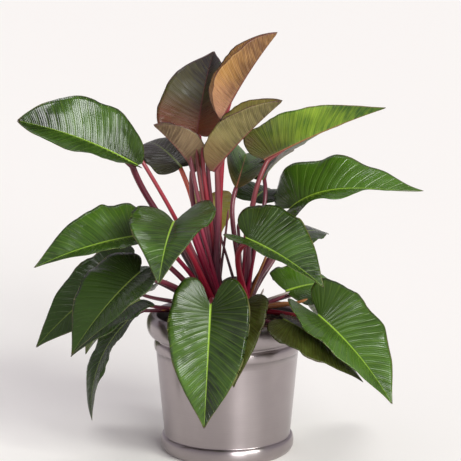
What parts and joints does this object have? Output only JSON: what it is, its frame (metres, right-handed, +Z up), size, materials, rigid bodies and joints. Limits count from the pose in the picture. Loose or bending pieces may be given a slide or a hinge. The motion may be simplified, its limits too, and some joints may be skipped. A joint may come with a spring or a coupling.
{
  "type": "potted philodendron",
  "caption": "Leafy houseplant with glossy heart-shaped leaves on red stalks, the youngest copper and olive, standing in a round satin metal pot with a rolled lip",
  "frame": {"origin": "centre of the pot's flat underside, on the surface it stands on", "axes": "+Z up along the pot's axis; -Y is the side the picture shows; +X is to the right seen from there"},
  "size_m": [0.6833, 0.488, 0.7275],
  "materials": {
    "pot_metal": "satin, spun and lacquered",
    "soil": "loose bark and peat mix",
    "crown": "rough, with old leaf scars",
    "leaf_green": "mature upper face, waxy",
    "leaf_bright": "lit mature face, waxy",
    "leaf_dark": "shaded mature face, waxy",
    "leaf_brown": "young leaf, brown green, waxy",
    "leaf_umber": "young leaf, umber, waxy",
    "leaf_yellow": "old leaf turning yellow, waxy",
    "leaf_olive": "young leaf, olive, waxy",
    "leaf_copper": "newest leaf, copper, waxy",
    "petiole_burgundy": "smooth, waxy",
    "petiole_red": "smooth, waxy",
    "petiole_rose": "smooth, waxy",
    "petiole_coral": "smooth, waxy"
  },
  "bodies": {
    "root": {"pot": "pot_metal", "soil": "soil", "crown_west": "crown", "crown_east": "crown", "blade_top_copper": "leaf_copper", "petiole_top_copper": "petiole_red", "blade_top_dark": "leaf_brown", "petiole_top_dark": "petiole_red", "blade_olive_right": "leaf_olive", "petiole_olive_right": "petiole_rose", "blade_olive_left": "leaf_umber", "petiole_olive_left": "petiole_rose", "blade_west_high": "leaf_green", "petiole_west_high": "petiole_burgundy", "blade_back_left": "leaf_dark", "petiole_back_left": "petiole_coral", "blade_west_mid": "leaf_green", "petiole_west_mid": "petiole_burgundy", "blade_centre_hang": "leaf_green", "petiole_centre_hang": "petiole_red", "blade_west_low": "leaf_dark", "petiole_west_low": "petiole_burgundy", "blade_west_low_back": "leaf_dark", "petiole_west_low_back": "petiole_burgundy", "blade_west_low_under": "leaf_dark", "petiole_west_low_under": "petiole_burgundy", "blade_west_hanging": "leaf_dark", "petiole_west_hanging": "petiole_burgundy", "blade_front": "leaf_green", "petiole_front": "petiole_red", "blade_back_yellow": "leaf_yellow", "petiole_back_yellow": "petiole_burgundy", "blade_back_low": "leaf_dark", "petiole_back_low": "petiole_burgundy", "blade_back_west_low": "leaf_green", "petiole_back_west_low": "petiole_burgundy", "blade_east_high": "leaf_bright", "petiole_east_high": "petiole_rose", "blade_east_arch": "leaf_green", "petiole_east_arch": "petiole_burgundy", "blade_east_centre": "leaf_green", "petiole_east_centre": "petiole_red", "blade_east_low": "leaf_green", "petiole_east_low": "petiole_red", "blade_east_low_under": "leaf_dark", "petiole_east_low_under": "petiole_rose", "blade_east_mid": "leaf_bright", "petiole_east_mid": "petiole_rose", "blade_front_right": "leaf_umber", "petiole_front_right": "petiole_burgundy", "blade_east_back": "leaf_green", "petiole_east_back": "petiole_burgundy", "blade_back_up": "leaf_bright", "petiole_back_up": "petiole_burgundy", "blade_back_stripe": "leaf_dark", "petiole_back_stripe": "petiole_burgundy", "blade_back_dark": "leaf_dark", "petiole_back_dark": "petiole_burgundy", "blade_back_east_low": "leaf_green", "petiole_back_east_low": "petiole_burgundy"}
  },
  "joints": []
}
